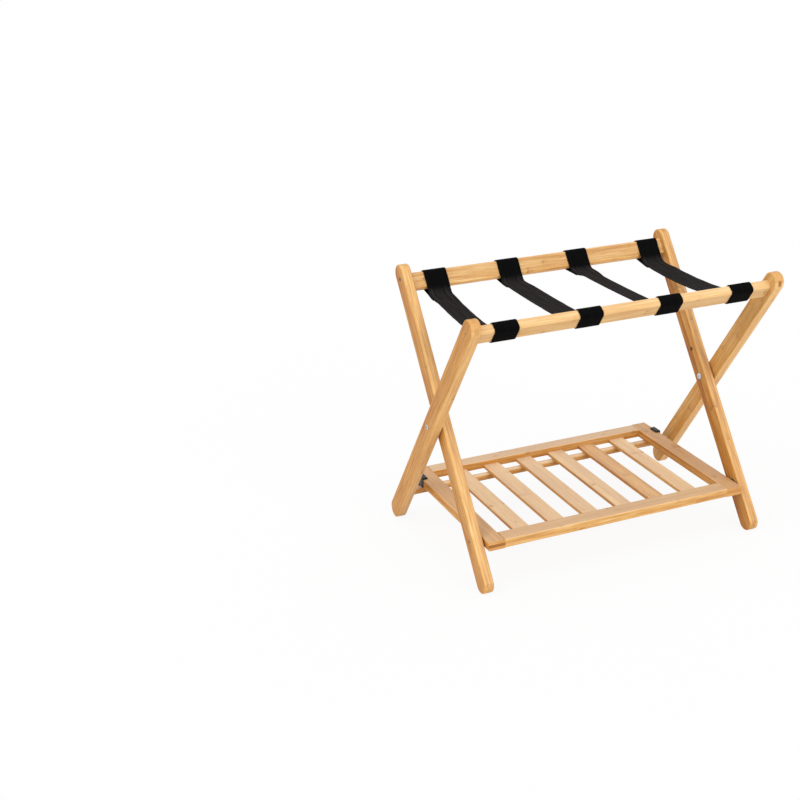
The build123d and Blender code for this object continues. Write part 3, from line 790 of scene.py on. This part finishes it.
def seam_marks():
    """The stitches of one seam, a box with a cross: offset, distance from the tail's end, and direction."""
    marks = []
    for end in (-1.0, 1.0):
        for share in fractions(14):
            marks.append((SEAM_HALF_WIDTH * share, SEAM_MIDDLE + SEAM_HALF_LENGTH * end, 1.0, 0.0))
    for edge in (-1.0, 1.0):
        for share in fractions(7):
            marks.append((SEAM_HALF_WIDTH * edge, SEAM_MIDDLE + SEAM_HALF_LENGTH * share, 0.0, 1.0))
    for slope in (-1.0, 1.0):
        for share in fractions(13):
            # Both diagonals have the same stitch in the middle
            turn = slope if share else 1.0
            marks.append((SEAM_HALF_WIDTH * share * slope, SEAM_MIDDLE + SEAM_HALF_LENGTH * share,
                          DIAGONAL_X * turn, DIAGONAL_RUN))
    return marks


def make_stitches(number, strap, stations):
    """Stitches through both layers of each sewn tail, seen on the upper layer and on the tail."""
    whole = stations[-1][0]
    rear, front = seam_lengths(stations)
    across = Vector((1.0, 0.0, 0.0))
    verts = []
    faces = []
    for start, way in ((0.0, 1.0), (whole, -1.0), (rear, -1.0), (front, 1.0)):
        for offset, reach, x_share, run_share in seam_marks():
            station = station_at(stations, start + way * reach)
            up = Vector((0.0, station[4], station[5])).normalized()
            run = (across * x_share - up.cross(across) * (run_share * way)).normalized()
            centre = strap_point(strap, station, offset, STRAP_THICKNESS / 2 + STITCH_LIFT)
            add_stitch(verts, faces, centre, run, up)
    mesh = bpy.data.meshes.new(f"strap_{number}_stitches")
    mesh.from_pydata(verts, [], faces)
    mesh.shade_smooth()
    mesh.materials.append(MATERIALS["thread"])
    made = bpy.data.objects.new(f"strap_{number}_stitches", mesh)
    bpy.context.scene.collection.objects.link(made)
    return made


def make_strap(number, strap):
    """One closed ribbon: tail, loop, span, loop, tail, with a selvage along each side and sewn tails."""
    stations = strap_stations(number, strap)
    verts = []
    faces = []
    uvs = []
    loop_shading = []
    size = len(PROFILE)
    for index, station in enumerate(stations):
        # How much painted shade of the loop round the rail this row gets
        shaded_loop = ease((abs(station[2]) - LOOP_SHADE_OUTSIDE) / LOOP_SHADE_FADE)
        for side, level in PROFILE:
            offset = side * STRAP_WIDTH / 2
            verts.append(strap_point(strap, station, offset, level * STRAP_THICKNESS / 2))
            uvs.append((offset, station[0]))
            loop_shading.append(shaded_loop)
        if index:
            first = (index - 1) * size
            second = first + size
            for step in range(size):
                after = (step + 1) % size
                faces.append((first + step, first + after, second + after, second + step))
    faces.append(tuple(range(size)))
    faces.append(tuple(range(len(verts) - 1, len(verts) - size - 1, -1)))
    mesh = bpy.data.meshes.new(f"strap_{number}")
    mesh.from_pydata(verts, [], faces)
    layer = mesh.uv_layers.new(name="cloth")
    for loop in mesh.loops:
        layer.data[loop.index].uv = uvs[loop.vertex_index]
    # The painted shade of the loops, kept for the webbing's material
    mark = mesh.attributes.new("loop_shading", "FLOAT", "POINT")
    mark.data.foreach_set("value", loop_shading)
    for polygon in mesh.polygons:
        polygon.use_smooth = len(polygon.vertices) == 4
    mesh.materials.append(MATERIALS["webbing"])
    made = bpy.data.objects.new(f"strap_{number}", mesh)
    bpy.context.scene.collection.objects.link(made)
    stitches = make_stitches(number, strap, stations)
    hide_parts(*(f"strap_{number}_{part}" for part in ("front_loop", "span", "rear_loop")))
    for piece in (made, stitches):
        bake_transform(piece)


for number, strap in enumerate(STRAPS, 1):
    make_strap(number, strap)


def light_path_share(tree, straight):
    """A socket that is straight for rays that look at the background, and 0 for the light it gives."""
    path = tree.nodes.new("ShaderNodeLightPath")
    socket = path.outputs["Is Camera Ray"]
    for name in ("Is Glossy Ray", "Is Transmission Ray"):
        highest = tree.nodes.new("ShaderNodeMath")
        highest.operation = "MAXIMUM"
        tree.links.new(socket, highest.inputs[0])
        tree.links.new(path.outputs[name], highest.inputs[1])
        socket = highest.outputs[0]
    share = tree.nodes.new("ShaderNodeMath")
    share.operation = "MULTIPLY"
    tree.links.new(socket, share.inputs[0])
    share.inputs[1].default_value = straight
    return share.outputs[0]


FLOOR_REACH = 90.0
FLOOR_SHARE = 0.90


def make_floor():
    """A wide pale floor, seen nearly white, that keeps the rack's shadow."""
    corners = [(x * FLOOR_REACH, y * FLOOR_REACH, 0) for x, y in ((-1, -1), (1, -1), (1, 1), (-1, 1))]
    mesh = bpy.data.meshes.new("floor")
    mesh.from_pydata(corners, [], [(0, 1, 2, 3)])
    made = bpy.data.objects.new("floor", mesh)
    bpy.context.scene.collection.objects.link(made)
    graph = Graph("pale_floor")
    tree = graph.tree
    coordinates = graph.node("ShaderNodeTexCoord").outputs["Object"]
    colour = graph.ramp(graph.noise(coordinates, 2.0), (
        (0.3, (0.84, 0.84, 0.84, 1.0)),
        (0.7, (0.86, 0.86, 0.86, 1.0)),
    ))
    graph.set(Base_Color=colour, Roughness=0.9, Specular_IOR_Level=0.0)
    glow = graph.node("ShaderNodeEmission")
    glow.inputs["Color"].default_value = (1.0, 1.0, 1.0, 1.0)
    glow.inputs["Strength"].default_value = 1.0
    joined = graph.node("ShaderNodeMixShader", light_path_share(tree, FLOOR_SHARE))
    tree.links.new(graph.shader.outputs[0], joined.inputs[1])
    tree.links.new(glow.outputs[0], joined.inputs[2])
    output = next(n for n in tree.nodes if n.type == "OUTPUT_MATERIAL")
    tree.links.new(joined.outputs[0], output.inputs["Surface"])
    mesh.materials.append(graph.material)


def make_world(strength):
    """Even white light of the given strength, seen as plain white."""
    world = bpy.data.worlds.new("studio")
    bpy.context.scene.world = world
    world.use_nodes = True
    tree = world.node_tree
    background = tree.nodes["Background"]
    background.inputs["Color"].default_value = (1.0, 1.0, 1.0, 1.0)
    level = tree.nodes.new("ShaderNodeMath")
    level.operation = "MAXIMUM"
    tree.links.new(light_path_share(tree, 1.0), level.inputs[0])
    level.inputs[1].default_value = strength
    tree.links.new(level.outputs[0], background.inputs["Strength"])


def soft_sun(name, source, strength, angle):
    """A wide soft lamp, the same everywhere, whose light comes from the given direction."""
    lamp = bpy.data.lights.new(name, "SUN")
    lamp.energy = strength
    lamp.angle = math.radians(angle)
    made = bpy.data.objects.new(name, lamp)
    made.rotation_mode = "QUATERNION"
    made.rotation_quaternion = (-Vector(source)).to_track_quat("-Z", "Y")
    made.location = Vector(source) * 3.0
    bpy.context.scene.collection.objects.link(made)


make_floor()
make_world(0.84)
soft_sun("key", (0.20, -0.85, 0.48), 0.85, 30.0)
soft_sun("side", (-0.72, -0.10, 0.69), 0.75, 40.0)

optics = bpy.data.cameras.new("camera")
optics.sensor_fit = "HORIZONTAL"
optics.sensor_width = 36.0
optics.lens = 63.4966
optics.shift_x = -0.0875
optics.shift_y = -0.0375
optics.clip_end = 300.0
camera = bpy.data.objects.new("camera", optics)
look = Vector((0.3937361, 0.8487826, -0.3529024)).normalized()
upward = Vector((0.1560573, 0.3166180, 0.9356277))
right = look.cross(upward).normalized()
upward = right.cross(look)
camera.matrix_world = Matrix.Translation((-1.333127, -2.343955, 1.357091)) @ Matrix(
    (right, upward, -look)).transposed().to_4x4()
bpy.context.scene.collection.objects.link(camera)
bpy.context.scene.camera = camera
bpy.context.scene.view_settings.view_transform = "Standard"
